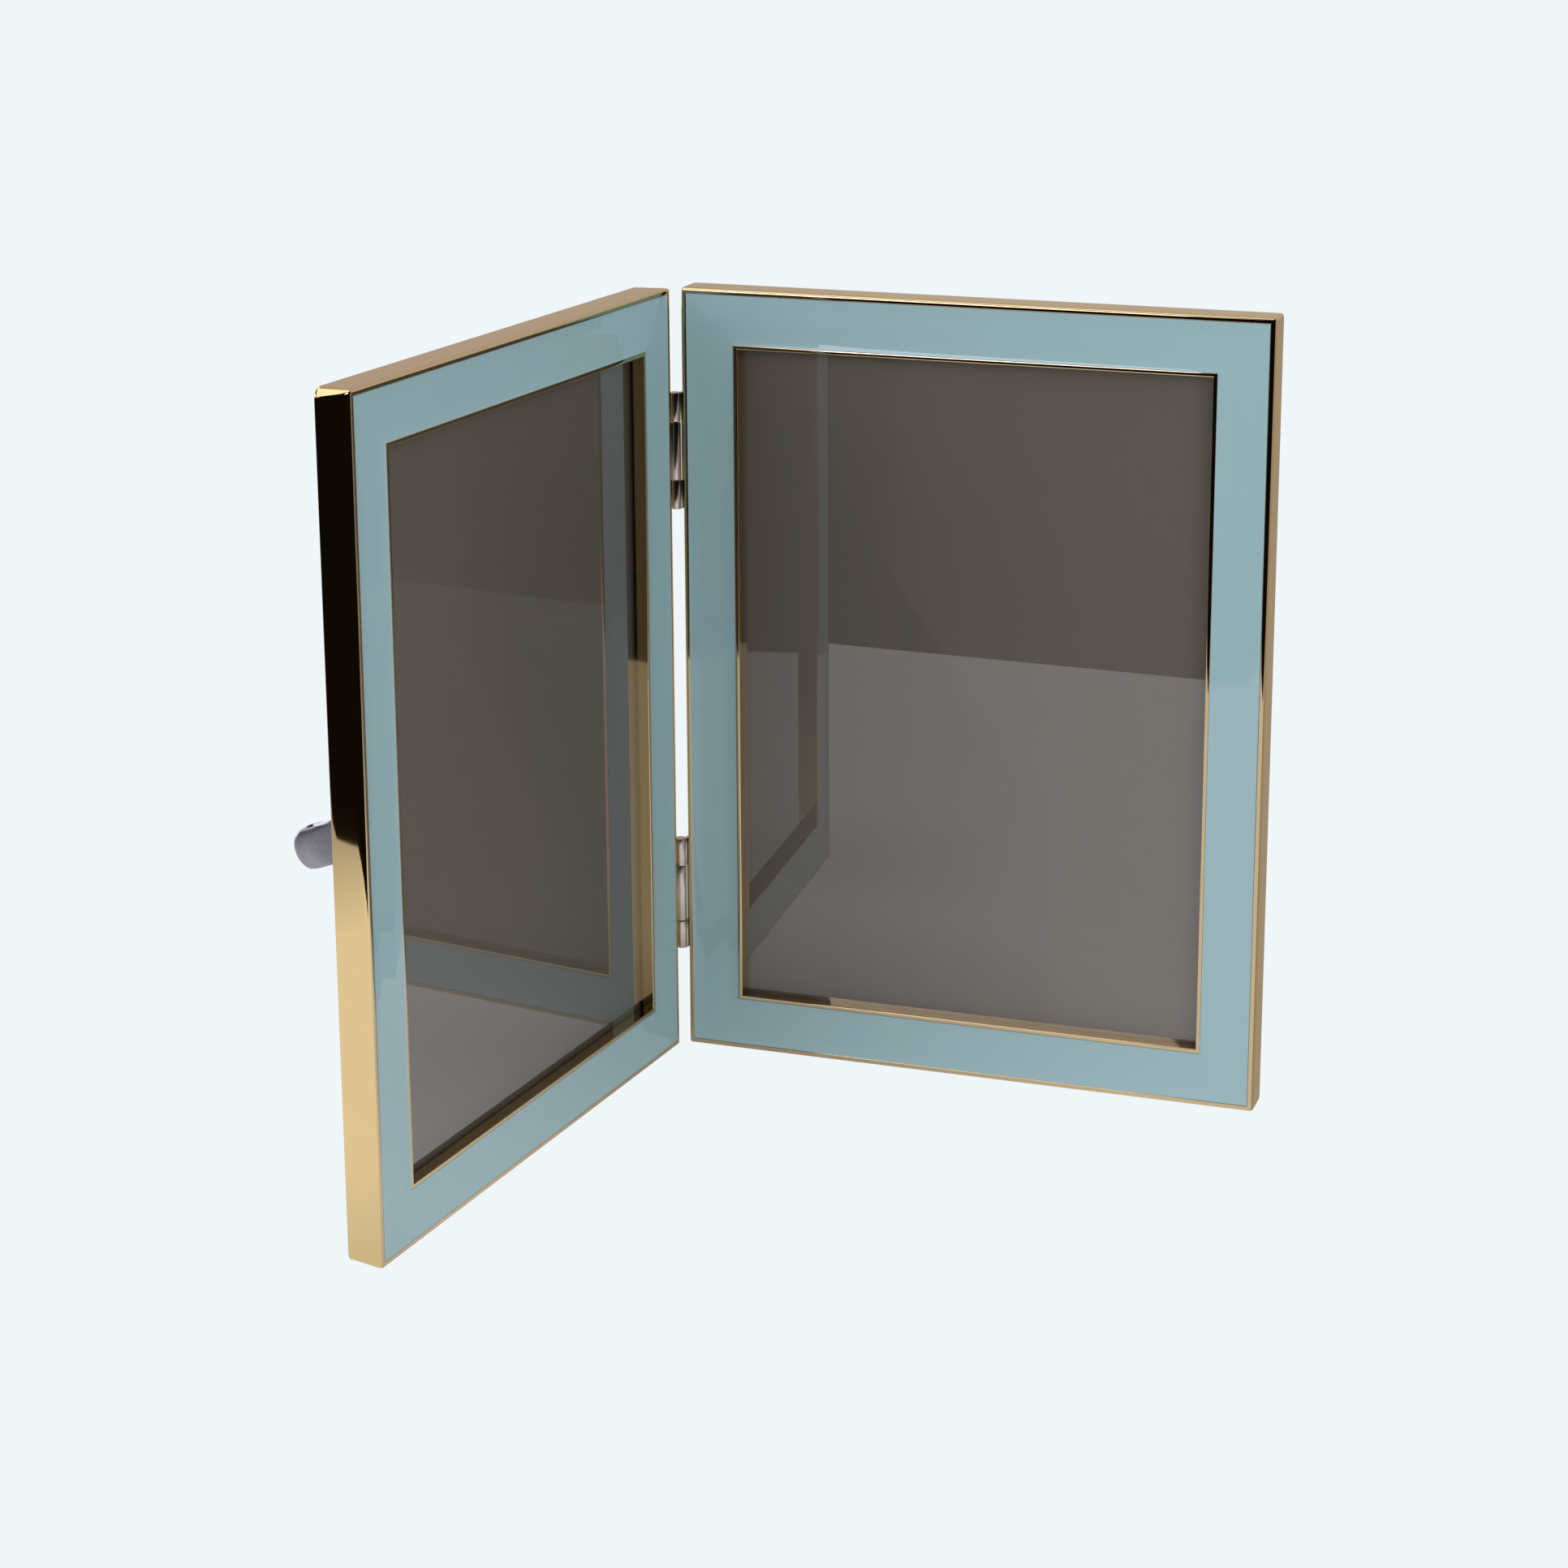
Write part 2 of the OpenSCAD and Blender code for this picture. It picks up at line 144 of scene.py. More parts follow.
def reshape(verts, old, new):
    """Moves points from one ring to the next. A ring is (width, height, depth, radius)."""
    for vert in verts:
        off = vert.co - leaf_middle
        old_x, old_z = (math.copysign(old[i] / 2 - old[3], off[2 * i]) for i in (0, 1))
        new_x, new_z = (math.copysign(new[i] / 2 - new[3], off[2 * i]) for i in (0, 1))
        grow = new[3] / old[3]
        arm = Vector((new_x + (off.x - old_x) * grow, new[2], new_z + (off.z - old_z) * grow))
        vert.co = leaf_middle + arm


def put_in_order(bm):
    """Numbers points, edges and faces by their places, because the tools number them anew
    in each run."""
    for parts, place in (
        (bm.verts, lambda vert: tuple(vert.co)),
        (bm.edges, lambda edge: sorted(vert.index for vert in edge.verts)),
        (bm.faces, lambda face: sorted(vert.index for vert in face.verts)),
    ):
        rank = {part: i for i, part in enumerate(sorted(parts, key=place))}
        parts.sort(key=rank.get)
        parts.index_update()


def loft(name, rings):
    """Extrudes a rounded rectangle about the leaf's middle from ring to ring, and shuts it."""
    w, h, y, r = rings[0]
    place = leaf_middle + Vector((0, y, 0))
    bpy.ops.object.select_all(action="DESELECT")
    # Emptied and filled again in edit mode, the piece keeps its origin at the world's.
    bpy.ops.mesh.primitive_plane_add(size=1)
    piece = bpy.context.object
    piece.name = piece.data.name = name
    edit_alone(piece)
    bpy.ops.mesh.delete(type="VERT")
    bpy.ops.mesh.primitive_plane_add(size=1, location=place, rotation=(math.pi / 2, 0, 0))
    bpy.ops.transform.resize(value=(w, 1, h), center_override=place)
    bpy.ops.mesh.bevel(offset=r, segments=corner_steps, affect="VERTICES")
    bpy.ops.mesh.delete(type="ONLY_FACE")
    bpy.ops.mesh.select_all(action="SELECT")
    for old, new in zip(rings, rings[1:]):
        bpy.ops.mesh.extrude_region_move()
        bm = bmesh.from_edit_mesh(piece.data)
        reshape([vert for vert in bm.verts if vert.select], old, new)
        bmesh.update_edit_mesh(piece.data)
    bpy.ops.mesh.select_all(action="DESELECT")
    bpy.ops.mesh.select_non_manifold()
    bpy.ops.mesh.bridge_edge_loops()
    bpy.ops.mesh.select_all(action="SELECT")
    bpy.ops.mesh.normals_make_consistent(inside=False)
    put_in_order(bmesh.from_edit_mesh(piece.data))
    bmesh.update_edit_mesh(piece.data)
    bpy.ops.object.mode_set(mode="OBJECT")
    return piece


def stand(piece, side):
    """Turns a piece of one leaf into its place. The left leaf mirrors the right one."""
    turn = Matrix.Rotation(open_angle / 2 - math.pi / 2, 4, "Z")
    shift = Matrix.Translation((side_gap, shut_gap / 2, 0))
    matrix = Matrix.Translation(hinge_axis) @ turn @ shift
    if side == "left":
        matrix = Matrix.Scale(-1, 4, (1, 0, 0)) @ matrix
    piece.data.transform(matrix)
    if side == "left":
        piece.data.flip_normals()
    return piece


def rounded(corner, before, after, radius):
    """Points of the arc that rounds a profile's corner between two neighbouring points."""
    corner, before, after = (Vector(p) for p in (corner, before, after))
    to_before, to_after = (before - corner).normalized(), (after - corner).normalized()
    centre = corner + (to_before + to_after) * radius
    start, end = -to_after * radius, -to_before * radius
    turns = (math.pi / 2 * i / edge_steps for i in range(edge_steps + 1))
    return [centre + start * math.cos(turn) + end * math.sin(turn) for turn in turns]


def rim(near, far, crown_r):
    """Profile of a raised, slightly domed rim. Each end is (inset, radius of its edge)."""
    (x0, r0), (x1, r1) = near, far
    shares = [i / rim_steps for i in range(1, rim_steps)]
    flat = rounded((x0, 0), (x0, channel_d), (x1, 0), r0)
    flat += [Vector((x0 + r0 + (x1 - r1 - x0 - r0) * share, 0)) for share in shares]
    flat += rounded((x1, 0), (x0, 0), (x1, channel_d), r1)
    half = (x1 - x0) / 2
    return [(x, y + (x - x0 - half) ** 2 / (2 * crown_r)) for x, y in flat]


def outline(points, radius=lambda x, y: sharp_r):
    """Rings from a profile's points (inset, depth), with sharp corners or as radius says."""
    return [
        (leaf_w - 2 * x, leaf_h - 2 * x, y, max(radius(x, y), sharp_r)) for x, y in points
    ]


def casting(name, rear_r):
    """Lofts one casting round its whole profile, from the outer face over the rims and back."""

    def outer_radius(x, y):
        return front_corner_r + (rear_r - front_corner_r) * max(y, 0) / leaf_d - x

    outer_rim = rim(
        (outer_edge_inset, outer_edge_r), (outer_rim_w, small_edge_r), outer_rim_crown_r
    )
    inner_rim = rim((channel_end, small_edge_r), (border_w, small_edge_r), inner_rim_crown_r)
    rings = outline(outer_rim, outer_radius)
    rings += outline([(outer_rim_w, channel_d), (channel_end, channel_d)])
    rings += outline(inner_rim)
    window = (leaf_w - 2 * border_w, leaf_h - 2 * border_w)
    pocket = (window[0] + 2 * (side_lap + print_gap), window[1] + 2 * (end_lap + print_gap))
    rib = (pocket[0] + 2 * rib_t, pocket[1] + 2 * rib_t)
    rings += [(*window, front_t, sharp_r), (*pocket, front_t, sharp_r)]
    rings += [(*pocket, board_y, sharp_r), (*rib, board_y, rib_t), (*rib, front_t, rib_t)]
    wall = [(wall_t, front_t), (wall_t, leaf_d - small_edge_r)]
    rings += outline(wall, lambda x, y: inner_corner_r)
    rear = rounded((wall_t, leaf_d), (wall_t, 0), (0, leaf_d), small_edge_r)[1:]
    rear += rounded(
        (rear_edge_inset, leaf_d), (wall_t, leaf_d), (rear_edge_inset, 0), rear_edge_r
    )
    rings += outline(rear, lambda x, y: inner_corner_r + (wall_t - x))
    rings += outline([(x * MM, y * MM) for x, y in reversed(side_crown)], outer_radius)
    return loft(name, rings)


class Tone:
    """A socket of a material's nodes, on which shader maths is written as ordinary sums."""

    def __init__(self, tree, socket=None):
        self.tree = tree
        self.socket = socket

    def node(self, kind, settings=(), output=0, **inputs):
        """Adds a node: first its settings, then its sockets, by name with _ for a space, or
        by number as in0, in1 and so on."""
        made = self.tree.nodes.new("ShaderNode" + kind)
        for key, value in dict(settings).items():
            setattr(made, key, value)
        for key, value in inputs.items():
            name = int(key[2:]) if key.startswith("in") else key.replace("_", " ")
            if isinstance(value, Tone):
                self.tree.links.new(value.socket, made.inputs[name])
            else:
                made.inputs[name].default_value = value
        return Tone(self.tree, made.outputs[output] if len(made.outputs) else None)

    def maths(self, operation, first, second):
        """Adds a Math node."""
        return self.node("Math", {"operation": operation}, in0=first, in1=second)

    def __add__(self, other):
        return self.maths("ADD", self, other)

    def __radd__(self, other):
        return self.maths("ADD", other, self)

    def __sub__(self, other):
        return self.maths("SUBTRACT", self, other)

    def __rsub__(self, other):
        return self.maths("SUBTRACT", other, self)

    def __mul__(self, other):
        return self.maths("MULTIPLY", self, other)

    def __rmul__(self, other):
        return self.maths("MULTIPLY", other, self)

    def __pow__(self, other):
        return self.maths("POWER", self, other)

    def __abs__(self):
        return self.maths("ABSOLUTE", self, 0)

    def along(self, axis):
        """One coordinate of a place: 0 for X, 1 for Y, 2 for Z."""
        return self.node("SeparateXYZ", output=axis, Vector=self)

    def fade(self, start, end, first, last):
        """A value that goes from first to last while this one goes from start to end."""
        return self.node("MapRange", Value=self, in1=start, in2=end, in3=first, in4=last)

    def noise(self, size, detail=2):
        """Noise between 0 and 1 whose features measure size metres."""
        return self.node("TexNoise", Vector=self, Scale=1 / size, Detail=detail)

    def blend(self, share, first, second):
        """A colour between two, by a share."""
        settings = {"data_type": "RGBA", "clamp_factor": True}
        return self.node("Mix", settings, output=2, in0=share, in6=first, in7=second)

    def bump(self, height, distance):
        """The surface's normal over a relief that is distance metres high."""
        return self.node("Bump", Height=height, Distance=distance)

    def surface(self, shader):
        """Ends the material with a shader."""
        self.node("OutputMaterial", Surface=shader)


def new_finish(name):
    """An empty material, and the piece's own coordinates in it."""
    material = bpy.data.materials.new(name)
    material.use_nodes = True
    material.node_tree.nodes.clear()
    return material, Tone(material.node_tree).node("TexCoord", output="Object")


def smooth(piece, crease):
    """Shades a piece smooth, with its broad flat faces kept flat up to their rounded edges."""
    bpy.ops.object.select_all(action="DESELECT")
    piece.select_set(True)
    bpy.context.view_layer.objects.active = piece
    bpy.ops.object.shade_smooth_by_angle(angle=crease)
    normals = piece.modifiers.new("normals", "WEIGHTED_NORMAL")
    normals.weight, normals.keep_sharp = flat_face_weight, True
    bpy.ops.object.modifier_apply(modifier=normals.name)


def dress(piece, material):
    """Gives a piece one material."""
    piece.data.materials.clear()
    piece.data.materials.append(material)
    piece.data.polygons.foreach_set("material_index", [0] * len(piece.data.polygons))


def gilt():
    """Polished gold plate: mirror bright, with a faint wave and fine wiping marks. The rims'
    front faces get a darker gold, a painted shade that stands in for their dimmer reflections."""
    material, place = new_finish("gilt")
    wave = place.noise(18 * MM, detail=1)
    mottle = place.noise(6 * MM, detail=3)
    marks = place.noise(0.5 * MM, detail=4)
    # The depth behind the front, which the mirrored leaves measure alike.
    x, y = place.along(0), place.along(1)
    heading = math.pi / 2 - open_angle / 2
    depth = abs(x) * math.sin(heading) + (y - hinge_axis.y) * math.cos(heading) - shut_gap / 2
    tint = place.blend(mottle, *gold_tints)
    # Painted shade: the darker gold of the rims' front faces.
    front_shade_tint = place.blend(mottle, *front_shade_tints)
    shader = place.node(
        "BsdfPrincipled",
        Base_Color=place.blend(depth.fade(*front_shade_ends, 1.0, 0.0), tint, front_shade_tint),
        Metallic=1.0,
        Roughness=0.015 + 0.03 * marks,
        Normal=place.bump(wave + 0.012 * mottle, 0.05 * MM),
    )
    place.surface(shader)
    return material


gilt_finish = gilt()
for side in ("right", "left"):
    shell = stand(casting(side + "_gilt_casting", rear_corner_r[side]), side)
    smooth(shell, casting_crease)
    dress(shell, gilt_finish)
    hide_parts(side + "_casting")
    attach(shell, side + "_frame")

# ---- Enamel bands -----------------------------------------------------------------------
# Glassy pale blue cold enamel fills the channel to just under the rims and climbs a little way
# up them at its edges. It was poured and set hard, so its surface has a slow, faint wave.
enamel_drop = 0.3 * MM
# The climb at an edge is the sum of two curves, each of a height and a width.
enamel_climbs = (0.25 * MM, 3.4 * MM), (0.045 * MM, 0.4 * MM)
enamel_climb_w = enamel_climbs[0][1]
enamel_climb_power = 1.5
enamel_steps = 9
enamel_step_power = 1.8
enamel_crease = math.radians(50)
enamel_tints = (0.275, 0.410, 0.433, 1), (0.288, 0.424, 0.442, 1)


def enamel_band(name):
    """Lofts the band: up from the channel's floor, over the surface and down again."""
    climb = []
    for i in range(enamel_steps + 1):
        x = enamel_climb_w * (i / enamel_steps) ** enamel_step_power
        up = sum(
            high * max(1 - x / wide, 0) ** enamel_climb_power for high, wide in enamel_climbs
        )
        climb.append((x, enamel_drop - up))
    points = [(outer_rim_w, channel_d)]
    points += [(outer_rim_w + x, y) for x, y in climb]
    points += [(channel_end - x, y) for x, y in reversed(climb)]
    points += [(channel_end, channel_d)]
    return loft(name, outline(points))


def enamel_glaze():
    """Enamel: opaque, glossy and duck-egg blue, faintly clouded."""
    material, place = new_finish("enamel_glaze")
    wave = place.noise(30 * MM, detail=1)
    clouds = place.noise(12 * MM, detail=3)
    specks = place.noise(0.6 * MM, detail=2)
    shader = place.node(
        "BsdfPrincipled",
        Base_Color=place.blend(clouds, *enamel_tints),
        Roughness=0.02 + 0.03 * specks,
        IOR=1.5,
        Normal=place.bump(wave, 0.15 * MM),
    )
    place.surface(shader)
    return material


enamel_finish = enamel_glaze()
for side in ("right", "left"):
    band = stand(enamel_band(side + "_enamel_band"), side)
    smooth(band, enamel_crease)
    dress(band, enamel_finish)
    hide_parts(side + "_enamel")
    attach(band, side + "_frame")

# ---- Glass, print card and boards -------------------------------------------------------
# A clear pane lies behind each window, with a bare taupe card in place of the picture, a grey
# filler board, and a pressed fibre board that closes the back.
glass_mirror = 0.042
glass_tint = (0.985, 0.99, 0.988, 1)
card_tints = (0.107, 0.088, 0.070, 1), (0.112, 0.092, 0.074, 1)
card_fibre_tint = (0.121, 0.100, 0.082, 1)
filler_tints = (0.22, 0.21, 0.19, 1), (0.42, 0.40, 0.37, 1)
fibre_tints = (0.09, 0.06, 0.035, 1), (0.3, 0.22, 0.14, 1)


def clear_glass():
    """Window glass: clear, with a mirror image off each of its faces."""
    material, place = new_finish("clear_glass")
    facing = place.node("LayerWeight", Blend=0.5, output="Facing")
    # A face mirrors little when seen square on, and everything at a glancing angle.
    one_face = glass_mirror + (1 - glass_mirror) * facing**5
    both_faces = one_face * (2 - one_face)
    mirror = place.node("BsdfGlossy", Color=(1, 1, 1, 1), Roughness=0.0)
    through = place.node("BsdfTransparent", Color=glass_tint)
    place.surface(place.node("MixShader", in0=both_faces, in1=through, in2=mirror))
    return material


def card_stock():
    """Taupe card with a faint fibre."""
    material, place = new_finish("card_stock")
    fibre = place.noise(0.25 * MM, detail=2)
    cloud = place.noise(20 * MM)
    shader = place.node(
        "BsdfPrincipled",
        Base_Color=place.blend(0.2 * fibre, place.blend(cloud, *card_tints), card_fibre_tint),
        Roughness=0.62 + 0.06 * fibre,
    )
    place.surface(shader)
    return material


def pressed_board(name, tints, size):
    """Pressed board: matted fibres with darker and paler flecks of a size."""
    material, place = new_finish(name)
    fleck = place.noise(size, detail=5)
    cloud = place.noise(9 * MM, detail=3)
    shader = place.node(
        "BsdfPrincipled",
        Base_Color=place.blend(0.7 * fleck + 0.3 * cloud, *tints),
        Roughness=0.75 + 0.2 * fleck,
        Normal=place.bump(fleck, 0.05 * MM),
    )
    place.surface(shader)
    return material


layers = {
    "glass": clear_glass(),
    "print_card": card_stock(),
    "filler_board": pressed_board("grey_board", filler_tints, 0.5 * MM),
    "back_board": pressed_board("fibre_board", fibre_tints, 0.8 * MM),
}
for side in ("right", "left"):
    for layer, material in layers.items():
        dress(frame["nodes"][side + "_" + layer], material)

# ---- Velvet backs -----------------------------------------------------------------------
# Grey velvet is glued over the rear of the fibre board and turned over its edges, with a
# notch at the outer edge where the ribbon comes out.
back_gap = 0.3 * MM
velvet_edge_r = 0.35 * MM
fine_edge_steps = 3
fine_crease = math.radians(35)
merge_within = 0.001 * MM
flat_within = math.radians(1)
velvet_tints = (0.030, 0.030, 0.034, 1), (0.060, 0.060, 0.066, 1)
velvet_pile_tint = (0.075, 0.075, 0.082, 1)


def velvet():
    """Short pile: dark between the hairs, with a pale sheen at a slant and brushed patches."""
    material, place = new_finish("velvet")
    pile = place.noise(0.35 * MM, detail=4)
    brushed = place.noise(25 * MM, detail=2)
    shader = place.node(
        "BsdfPrincipled",
        Base_Color=place.blend(pile, place.blend(brushed, *velvet_tints), velvet_pile_tint),
        Roughness=0.8 + 0.15 * pile,
        Sheen_Weight=0.6,
        Sheen_Roughness=0.4,
        Normal=place.bump(pile, 0.12 * MM),
    )
    place.surface(shader)
    return material


def refined(node, name, radius):
    """A copy of a built node that stands for it, with its edges rounded."""
    source = frame["nodes"][node]
    piece = bpy.data.objects.new(name, source.data.copy())
    piece.data.name = name
    bpy.context.scene.collection.objects.link(piece)
    edit_alone(piece)
    bpy.ops.mesh.select_all(action="SELECT")
    bpy.ops.mesh.remove_doubles(threshold=merge_within)
    bpy.ops.mesh.dissolve_limited(angle_limit=flat_within)
    bpy.ops.object.mode_set(mode="OBJECT")
    bevel = piece.modifiers.new("edges", "BEVEL")
    bevel.width, bevel.segments = radius, fine_edge_steps
    bevel.limit_method, bevel.angle_limit = "ANGLE", fine_crease
    bpy.ops.object.modifier_apply(modifier=bevel.name)
    bpy.ops.object.shade_smooth_by_angle(angle=fine_crease)
    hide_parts(node)
    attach(piece, source["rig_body"])
    return piece


velvet_finish = velvet()
for side in ("right", "left"):
    cover = refined(side + "_velvet_cover", side + "_velvet_back", velvet_edge_r)
    dress(cover, velvet_finish)

# ---- Hinges -----------------------------------------------------------------------------
# Two nickel-plated butt hinges join the leaves: three knuckles on a pin, and a plate on each
# leaf's side face, held by two small countersunk screws.
hinge_edge_r = {"right_plate": 0.15 * MM, "left_plate": 0.15 * MM, "pin": 0.2 * MM}
nickel_tints = (0.50, 0.45, 0.41, 1), (0.56, 0.51, 0.47, 1)


def nickel():
    """Bright nickel plate with a faint drawn grain."""
    material, place = new_finish("nickel")
    grain = place.noise(0.4 * MM, detail=3)
    cloud = place.noise(4 * MM, detail=2)
    shader = place.node(
        "BsdfPrincipled",
        Base_Color=place.blend(cloud, *nickel_tints),
        Metallic=1.0,
        Roughness=0.10 + 0.08 * grain,
        Normal=place.bump(cloud, 0.006 * MM),
    )
    place.surface(shader)
    return material


nickel_finish = nickel()
for level in ("upper", "lower"):
    for part, radius in hinge_edge_r.items():
        node = f"{level}_hinge_{part}"
        hinge_part = refined(node, node + "_plated", radius)
        dress(hinge_part, nickel_finish)
for side in ("right", "left"):
    dress(frame["nodes"][side + "_hinge_screws"], nickel_finish)

# ---- Pull ribbons -----------------------------------------------------------------------
# A loop of grey satin ribbon hangs out at the outer edge of each back, to pull it out by. Its
# two ends lie on each other through the notch and are glued to the board's inner face.
ribbon_w = 9.5 * MM
ribbon_t = 0.35 * MM
ribbon_cloth_t = ribbon_t * 0.8
ribbon_x = leaf_w - wall_t - back_gap
ribbon_tail = 5 * MM
ribbon_reach = 12.6 * MM
ribbon_lean = 2 * MM
ribbon_end_bulge = 1.35 * MM
ribbon_middle_bulge = ribbon_end_bulge * 0.7
ribbon_tip_half = ribbon_end_bulge * 0.8
ribbon_corner_r = 4.6 * MM
ribbon_droop = math.radians(21)
ribbon_twist = 0.6 * MM
ribbon_rows = 22
ribbon_crease = math.radians(60)
# The route's corners are rounded by cutting them over and over, at this share of each side.
route_cuts = 4
route_cut_share = 0.25
satin_tints = (0.24, 0.24, 0.28, 1), (0.36, 0.36, 0.415, 1)
weft_pitch = 0.25 * MM
weft_run = 1.5 * MM


def loop_route():
    """The ribbon's middle line: along the board, out through the notch, round and back."""
    near, far = ribbon_x - ribbon_t * 1.5, ribbon_x - ribbon_t / 2
    inner_y, outer_y = board_y - ribbon_t / 2, board_y - ribbon_t * 1.5
    tail_x = ribbon_x - 2 * ribbon_t - ribbon_tail
    middle_x, middle_y = ribbon_x - ribbon_t - ribbon_lean / 2, leaf_d + ribbon_reach / 2
    end_x, end_y = ribbon_x - ribbon_t - ribbon_lean, leaf_d + ribbon_reach
    round_y = end_y - 2 * ribbon_end_bulge
    points = [(tail_x, inner_y), (near - ribbon_t, inner_y), (near, board_y), (near, leaf_d)]
    points += [(middle_x - ribbon_middle_bulge, middle_y), (end_x - ribbon_end_bulge, round_y)]
    points += [(end_x - ribbon_tip_half, end_y), (end_x + ribbon_tip_half, end_y)]
    points += [(end_x + ribbon_end_bulge, round_y), (middle_x + ribbon_middle_bulge, middle_y)]
    points += [(far, leaf_d), (far, board_y), (far, outer_y), (tail_x, outer_y)]
    for _ in range(route_cuts):
        finer = [points[0]]
        for a, b in zip(points, points[1:]):
            for share in (route_cut_share, 1 - route_cut_share):
                finer += [tuple(p * (1 - share) + q * share for p, q in zip(a, b))]
        points = finer + [points[-1]]
    return points


def pull_ribbon(name, route):
    """Lays the ribbon along its route. Its loop hangs down, and draws in to a round end."""
    last = len(route) - 1
    bpy.ops.object.select_all(action="DESELECT")
    bpy.ops.mesh.primitive_grid_add(x_subdivisions=last, y_subdivisions=ribbon_rows, size=2)
    ribbon = bpy.context.object
    ribbon.name = ribbon.data.name = name
    straight = ribbon_w / 2 - ribbon_corner_r
    sink = math.sin(ribbon_droop)
    for vert in ribbon.data.vertices:
        step = round((vert.co.x + 1) / 2 * last)
        x, y = route[step]
        z = vert.co.y * ribbon_w / 2
        past = max(abs(z) - straight, 0)
        drawn = ribbon_corner_r - math.sqrt(max(ribbon_corner_r**2 - past**2, 0))
        if y > leaf_d:
            y = leaf_d + (y - leaf_d) * (1 - drawn / ribbon_reach)
        out = max(y - board_y, 0)
        turned = min(max((y - leaf_d) / ribbon_reach, 0), 1)
        pull = 1 - (1 - math.cos(ribbon_droop)) * turned
        lift = ribbon_twist * (1 - 2 * step / last)
        if out:
            y = board_y + out * pull + z * sink * turned
        vert.co = (x, y, leaf_h / 2 + z * pull - out * sink + lift)
    return ribbon


def satin():
    """Grey satin: fine weft ribs across the ribbon, laid out on its own cut length."""
    material, place = new_finish("satin")
    threads = (ribbon_l / weft_pitch, ribbon_w / weft_run, 1)
    cut = place.node("UVMap")
    spread = place.node("VectorMath", {"operation": "MULTIPLY"}, in0=cut, in1=threads)
    rib = spread.noise(1.0, detail=2)
    shader = place.node(
        "BsdfPrincipled",
        Base_Color=place.blend(rib, *satin_tints),
        Metallic=0.9,
        Roughness=0.22,
        Sheen_Weight=0.05,
        Normal=place.bump(rib, 0.02 * MM),
    )
    place.surface(shader)
    return material


ribbon_route = loop_route()
ribbon_l = sum(math.dist(a, b) for a, b in zip(ribbon_route, ribbon_route[1:]))
satin_finish = satin()
for side in ("right", "left"):
    ribbon = stand(pull_ribbon(side + "_satin_loop", ribbon_route), side)
    cloth = ribbon.modifiers.new("cloth", "SOLIDIFY")
    cloth.thickness, cloth.offset = ribbon_cloth_t, 0
    bpy.context.view_layer.objects.active = ribbon
    bpy.ops.object.modifier_apply(modifier=cloth.name)
    bpy.ops.object.shade_smooth_by_angle(angle=ribbon_crease)
    dress(ribbon, satin_finish)
    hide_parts(side + "_pull_ribbon")
    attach(ribbon, side + "_back")

# ---- Studio -----------------------------------------------------------------------------
# The camera sees a pale floor and background. The gold, enamel and glass mirror a dark room
# with a white table, a bright ceiling, a taupe card behind, a cream one far right, two bright
# ones at the left and a window light. Soft lamps and a pale dome light all that isn't glossy.
pale = (0.863, 0.922, 0.947, 1)
floor_reach = -6.0, 6.0
floor_z = -0.0002
table_z = -0.001
table_w, table_d = 2, 2
table_overhang = 0.6
table_edge = Vector((-0.343, -0.179, 0))
table_along = Vector((0.763, -0.647, 0))
table_inwards = Vector((0.647, 0.763, 0))
left_foot = hinge_axis + Vector((-0.113, -0.1035, 0))
table_tints = (0.94, 0.93, 0.92, 1), (0.40, 0.35, 0.29, 1)
table_turns_grey = 0.112, 0.116
# The table's shades: the two places between which one fades, and the light left at its start.
shade_between = 0.02, 0.12, 0.48
shade_at_foot = 0.01, 0.06, 0.82
shade_far_left = -0.44, -0.34, 0.5
ceiling_z = 1.7
ceiling_glow = (1.5, 1.47, 1.42, 1)
wall_reach = -0.2, 4.2
room_corner = 6, 2.2
lamp_aim = Vector((0, 0, 0.1))


def glow(name, colour):
    """A flat glowing finish."""
    material, place = new_finish(name)
    place.surface(place.node("Emission", Color=colour, Strength=1.0))
    return material


def graded_glow(name, axis, ends, first, second):
    """A glow that turns from one colour to another between two places along an axis."""
    material, place = new_finish(name)
    colour = place.blend(place.along(axis).fade(*ends, 0.0, 1.0), first, second)
    place.surface(place.node("Emission", Color=colour, Strength=1.0))
    return material


def table_glow():
    """The table: darker deep between the leaves, at the left leaf's foot and towards its far
    left, and grey at the right."""
    material, place = new_finish("white_table")
    near, foot = (
        place.node("VectorMath", {"operation": "DISTANCE"}, output=1, in0=place, in1=point)
        for point in (hinge_axis, left_foot)
    )
    across = place.along(0)
    plain = place.blend(across.fade(*table_turns_grey, 0.0, 1.0), *table_tints)
    shade = near.fade(*shade_between, 1.0) * foot.fade(*shade_at_foot, 1.0)
    shade = shade * across.fade(*shade_far_left, 1.0)
    colour = place.node("VectorMath", {"operation": "SCALE"}, in0=plain, Scale=shade)
    place.surface(place.node("Emission", Color=colour, Strength=1.0))
    return material


def stage_card(name, corners, material):
    """A flat card of the studio, which only mirror images show."""
    mesh = bpy.data.meshes.new(name)
    mesh.from_pydata([tuple(c) for c in corners], [], [list(range(len(corners)))])
    card = bpy.data.objects.new(name, mesh)
    bpy.context.scene.collection.objects.link(card)
    card.data.materials.append(material)
    card.visible_camera = False
    card.visible_diffuse = False
    card.visible_shadow = False
    card.visible_transmission = False
    return card


def level_corners(x, y, z):
    """Corners of a level card, from its reach in X and Y and its height."""
    return [(x[0], y[0], z), (x[1], y[0], z), (x[1], y[1], z), (x[0], y[1], z)]


def wall_corners(start, end):
    """Corners of a wall of the room between two places on the floor."""
    low, high = wall_reach
    return [(*start, low), (*end, low), (*end, high), (*start, high)]


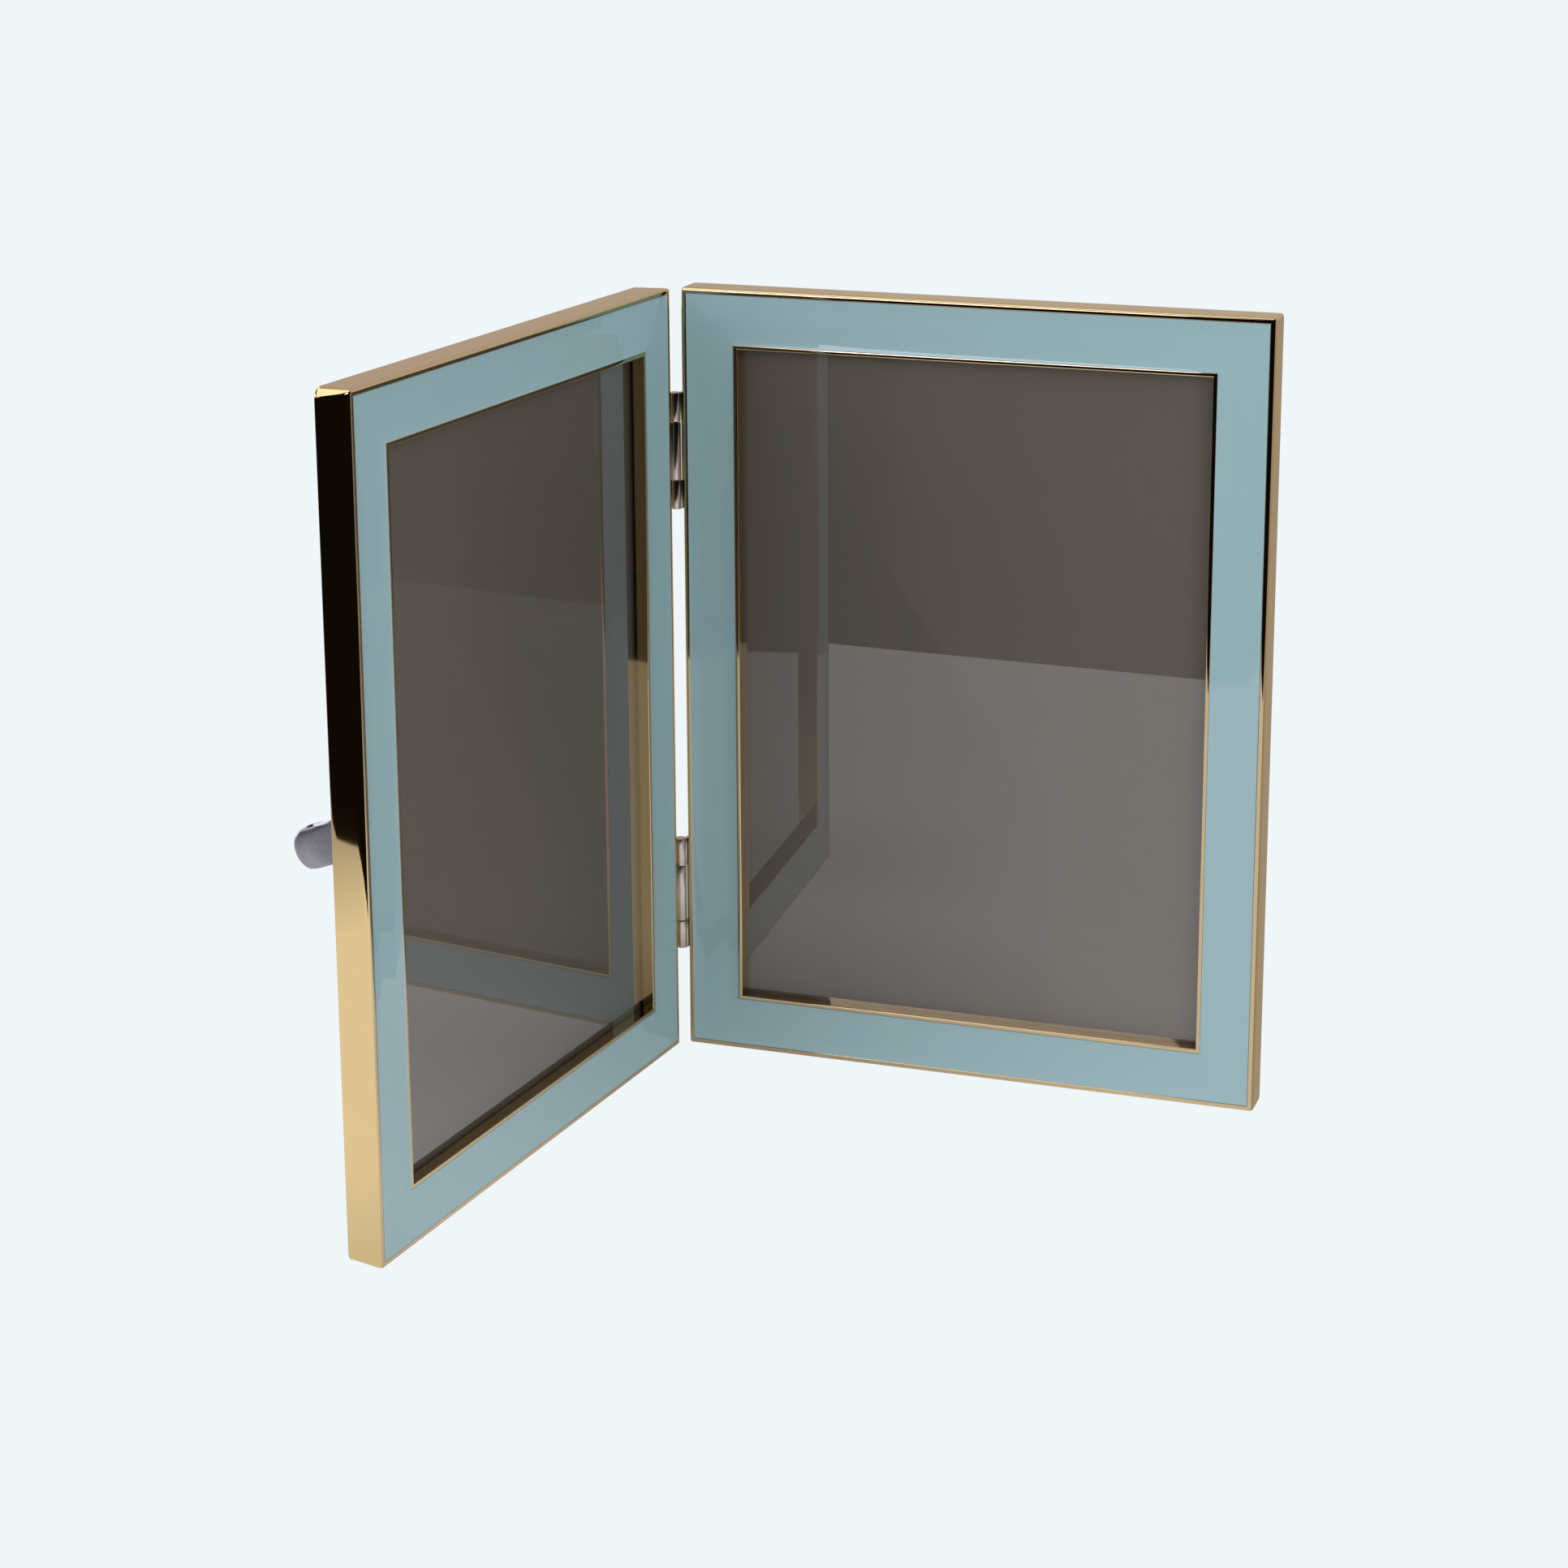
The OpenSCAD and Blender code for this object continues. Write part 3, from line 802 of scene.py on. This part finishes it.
def upright_corners(heading, distance, corners):
    """Corners of a standing card that faces the hinge: offsets along it, and heights."""
    turn = math.radians(heading)
    centre = hinge_axis + Vector((math.cos(turn), math.sin(turn), 0)) * distance
    along = Vector((-math.sin(turn), math.cos(turn), 0))
    return [centre + along * across + Vector((0, 0, height)) for across, height in corners]


def softbox(name, place, size, power):
    """A soft lamp that faces the object, and that no mirror image shows."""
    lamp = bpy.data.objects.new(name, bpy.data.lights.new(name, "AREA"))
    bpy.context.scene.collection.objects.link(lamp)
    lamp.data.shape = "RECTANGLE"
    lamp.data.size, lamp.data.size_y = size
    lamp.data.energy = power
    lamp.location = place
    lamp.rotation_euler = (lamp_aim - Vector(place)).to_track_quat("-Z", "Y").to_euler()
    lamp.visible_glossy = False


floor = stage_card(
    "floor", level_corners(floor_reach, floor_reach, floor_z), glow("pale_floor", pale)
)
floor.visible_camera = True
floor.visible_glossy = False

world = bpy.data.worlds.new("studio")
bpy.context.scene.world = world
world.use_nodes = True
world.node_tree.nodes.clear()
air = Tone(world.node_tree)
seen = air.node("LightPath", output="Is Camera Ray")
mirrored = air.node("LightPath", output="Is Glossy Ray")
backdrop = air.node("Background", Color=pale, Strength=1.0)
room = air.node("Background", Color=(0.006, 0.0045, 0.003, 1), Strength=1.0)
dome = air.node("Background", Color=(0.93, 0.95, 1.0, 1), Strength=0.55)
lit = air.node("MixShader", in0=mirrored, in1=dome, in2=room)
air.node("OutputWorld", Surface=air.node("MixShader", in0=seen, in1=lit, in2=backdrop))

table = [table_edge - table_along * table_overhang, table_edge + table_along * table_w]
table += [table[1] + table_inwards * table_d, table[0] + table_inwards * table_d]
stage_card("table", [(p.x, p.y, table_z) for p in table], table_glow())
stage_card(
    "ceiling",
    level_corners((-2.4, 0.3), (-0.3, 1.3), ceiling_z),
    glow("ceiling_light", ceiling_glow),
)
stage_card(
    "back_card",
    wall_corners((-2, 2.2), room_corner),
    graded_glow("back_glow", 0, (0.8, 1.05), (0.49, 0.42, 0.37, 1), (0.53, 0.47, 0.42, 1)),
)
stage_card(
    "side_card", wall_corners(room_corner, (6, -1)), glow("side_glow", (0.82, 0.77, 0.66, 1))
)
stage_card(
    "window_light",
    upright_corners(
        -153, 2.6, [(-0.41, 0.1), (0, 0.1), (0.48, 0.36), (0.48, 1.9), (-0.41, 1.9)]
    ),
    graded_glow("window_glow", 2, (0.7, 1.1), (4.0, 3.8, 4.8, 1), (2.6, 2.5, 2.6, 1)),
)
stage_card(
    "left_card",
    upright_corners(134, 1.5, [(-0.5, -0.05), (0.5, -0.05), (0.5, 1.0), (-0.5, 1.0)]),
    glow("left_glow", (2.6, 2.6, 2.8, 1)),
)
stage_card(
    "high_card",
    upright_corners(172, 2, [(-0.45, 0.35), (0.45, 0.35), (0.45, 1.75), (-0.45, 1.75)]),
    glow("high_glow", ceiling_glow),
)

softbox("left_lamp", (-1.9, -0.65, 0.45), (1.2, 1.2), 16.8)
softbox("front_lamp", (0, -2, 0.9), (1.2, 1.2), 18.2)
softbox("right_lamp", (1.9, -0.9, 0.6), (1.2, 1.2), 7.6)
softbox("top_lamp", (0, -0.1, 1.7), (1.2, 0.8), 5.9)

scene = bpy.context.scene
scene.view_settings.view_transform = "Standard"
scene.view_settings.look = "None"
